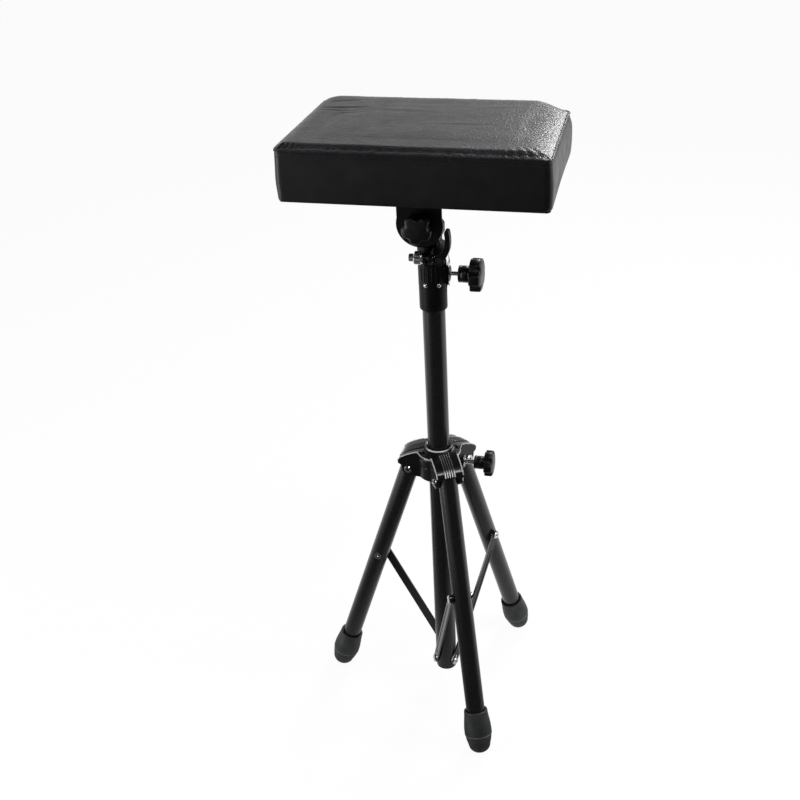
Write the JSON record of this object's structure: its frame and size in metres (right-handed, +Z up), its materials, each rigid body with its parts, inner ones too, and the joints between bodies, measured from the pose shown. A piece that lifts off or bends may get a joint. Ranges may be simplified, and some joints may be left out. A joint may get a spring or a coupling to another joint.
{
  "type": "tattoo arm rest stand",
  "caption": "Free-standing padded arm rest: tilting pad on a telescopic column with folding tripod legs, a quick-release clamp and star knobs.",
  "frame": {"origin": "on the floor under the column's axis", "axes": "+Z up along the column, +X along the pad's long side towards the height knob, -Y towards the tilt knob"},
  "size_m": [0.2953, 0.2727, 0.7502],
  "materials": {
    "pad_vinyl": "black upholstery vinyl with fine grain, satin",
    "foam": "open-cell foam",
    "plywood": "bare plywood",
    "dust_cloth": "black non-woven cloth",
    "black_steel": "gloss black powder coat",
    "bracket_steel": "satin black powder coat",
    "bright_steel": "bright zinc and chrome",
    "black_nylon": "satin black moulding",
    "gloss_nylon": "polished black moulding",
    "natural_nylon": "natural nylon",
    "brass": "turned brass",
    "foot_rubber": "dark grey rubber"
  },
  "bodies": {
    "column": {"column_tube": "black_steel", "clamp_collar": "black_nylon", "tube_sleeve": "black_nylon", "collar_liner": "natural_nylon", "collar_nut": "bright_steel", "collar_screws": "bright_steel", "column_plug": "black_nylon", "lower_brace_rivets": "bright_steel"},
    "height_knob": {"height_knob": "black_nylon", "height_stud": "bright_steel"},
    "hub": {"hub_body": "black_nylon", "hub_liner": "gloss_nylon", "hub_nut": "brass", "leg_hinge_rivets": "bright_steel"},
    "hub_knob": {"hub_knob": "black_nylon", "hub_stud": "bright_steel"},
    "tube_bush": {"guide_bush": "natural_nylon"},
    "mast": {"upper_tube": "black_steel", "clamp_ring": "bracket_steel", "skewer_rod": "bright_steel", "skewer_washer": "black_steel", "cam_pin": "black_steel"},
    "skewer_nut": {"skewer_nut": "bright_steel"},
    "cam_lever": {"cam_lever": "black_steel"},
    "head": {"head_post": "black_steel", "head_block": "bracket_steel", "friction_discs": "black_nylon", "post_pin": "bright_steel"},
    "pad": {"pad_cover": "pad_vinyl", "pad_foam": "foam", "pad_board": "plywood", "pad_bottom_cloth": "dust_cloth", "board_tee_nuts": "bright_steel", "bracket_screws": "bright_steel", "tilt_bracket": "bracket_steel", "tilt_bolt": "bright_steel", "tilt_washer": "bright_steel"},
    "tilt_knob": {"tilt_knob": "black_nylon", "tilt_knob_insert": "brass"},
    "leg_front": {"leg_front": "black_steel", "foot_front": "foot_rubber", "brace_rivet_front": "bright_steel", "brace_spacer_front": "black_nylon"},
    "brace_front": {"brace_front": "black_steel"},
    "leg_right": {"leg_right": "black_steel", "foot_right": "foot_rubber", "brace_rivet_right": "bright_steel", "brace_spacer_right": "black_nylon"},
    "brace_right": {"brace_right": "black_steel"},
    "leg_left": {"leg_left": "black_steel", "foot_left": "foot_rubber", "brace_rivet_left": "bright_steel", "brace_spacer_left": "black_nylon"},
    "brace_left": {"brace_left": "black_steel"}
  },
  "joints": [
    {"name": "height_slide", "type": "slide", "parent": "column", "child": "tube_bush", "axis": [0, 0, 1], "range_m": [0, 0.25]},
    {"name": "swivel", "type": "hinge", "parent": "tube_bush", "child": "mast", "pos_m": [0, 0, 0.5988], "axis": [0, 0, 1], "continuous": true},
    {"name": "skewer_nut_turn", "type": "hinge", "parent": "mast", "child": "skewer_nut", "pos_m": [-0.01, -0.026, 0.6087], "axis": [1, 0, 0], "continuous": true},
    {"name": "cam_lever_swing", "type": "hinge", "parent": "mast", "child": "cam_lever", "pos_m": [0.01405, -0.026, 0.6087], "axis": [0, 1, 0], "range_deg": [0, 150]},
    {"name": "head_slide", "type": "slide", "parent": "mast", "child": "head", "axis": [0, 0, 1], "range_m": [0, 0.25]},
    {"name": "pad_tilt", "type": "hinge", "parent": "head", "child": "pad", "pos_m": [-0.008, 0, 0.6442], "axis": [0, 1, 0], "range_deg": [-90, 56]},
    {"name": "tilt_knob_turn", "type": "hinge", "parent": "pad", "child": "tilt_knob", "pos_m": [-0.008, -0.028, 0.6442], "axis": [0, 1, 0], "continuous": true},
    {"name": "height_knob_turn", "type": "hinge", "parent": "column", "child": "height_knob", "pos_m": [0.045, 0, 0.58075], "axis": [1, 0, 0], "continuous": true},
    {"name": "hub_slide", "type": "slide", "parent": "column", "child": "hub", "axis": [0, 0, 1], "range_m": [0, 0.02428]},
    {"name": "hub_knob_turn", "type": "hinge", "parent": "hub", "child": "hub_knob", "pos_m": [0.055, 0, 0.337], "axis": [1, 0, 0], "continuous": true},
    {"name": "leg_front_fold", "type": "hinge", "parent": "hub", "child": "leg_front", "pos_m": [0.01643, -0.0309, 0.328], "axis": [0.8829, 0.4695, 0], "range_deg": [0, 18.7]},
    {"name": "brace_front_turn", "type": "hinge", "parent": "leg_front", "child": "brace_front", "pos_m": [0.02605, -0.07881, 0.18971], "axis": [-0.8829, -0.4695, 0], "range_deg": [0, 34.85]},
    {"name": "leg_right_fold", "type": "hinge", "parent": "hub", "child": "leg_right", "pos_m": [0.01855, 0.02968, 0.328], "axis": [-0.848, 0.5299, 0], "range_deg": [0, 18.7]},
    {"name": "brace_right_turn", "type": "hinge", "parent": "leg_right", "child": "brace_right", "pos_m": [0.05523, 0.06196, 0.18971], "axis": [0.848, -0.5299, 0], "range_deg": [0, 34.85]},
    {"name": "leg_left_fold", "type": "hinge", "parent": "hub", "child": "leg_left", "pos_m": [-0.03498, 0.00122, 0.328], "axis": [-0.0349, -0.9994, 0], "range_deg": [0, 18.7]},
    {"name": "brace_left_turn", "type": "hinge", "parent": "leg_left", "child": "brace_left", "pos_m": [-0.08127, 0.01685, 0.18971], "axis": [0.0349, 0.9994, 0], "range_deg": [0, 34.85]}
  ],
  "couplings": [
    {"joint": "leg_front_fold", "follows": "hub_slide", "rad_per_m": 13.442},
    {"joint": "brace_front_turn", "follows": "hub_slide", "rad_per_m": 25.049},
    {"joint": "leg_right_fold", "follows": "hub_slide", "rad_per_m": 13.442},
    {"joint": "brace_right_turn", "follows": "hub_slide", "rad_per_m": 25.049},
    {"joint": "leg_left_fold", "follows": "hub_slide", "rad_per_m": 13.442},
    {"joint": "brace_left_turn", "follows": "hub_slide", "rad_per_m": 25.049}
  ]
}
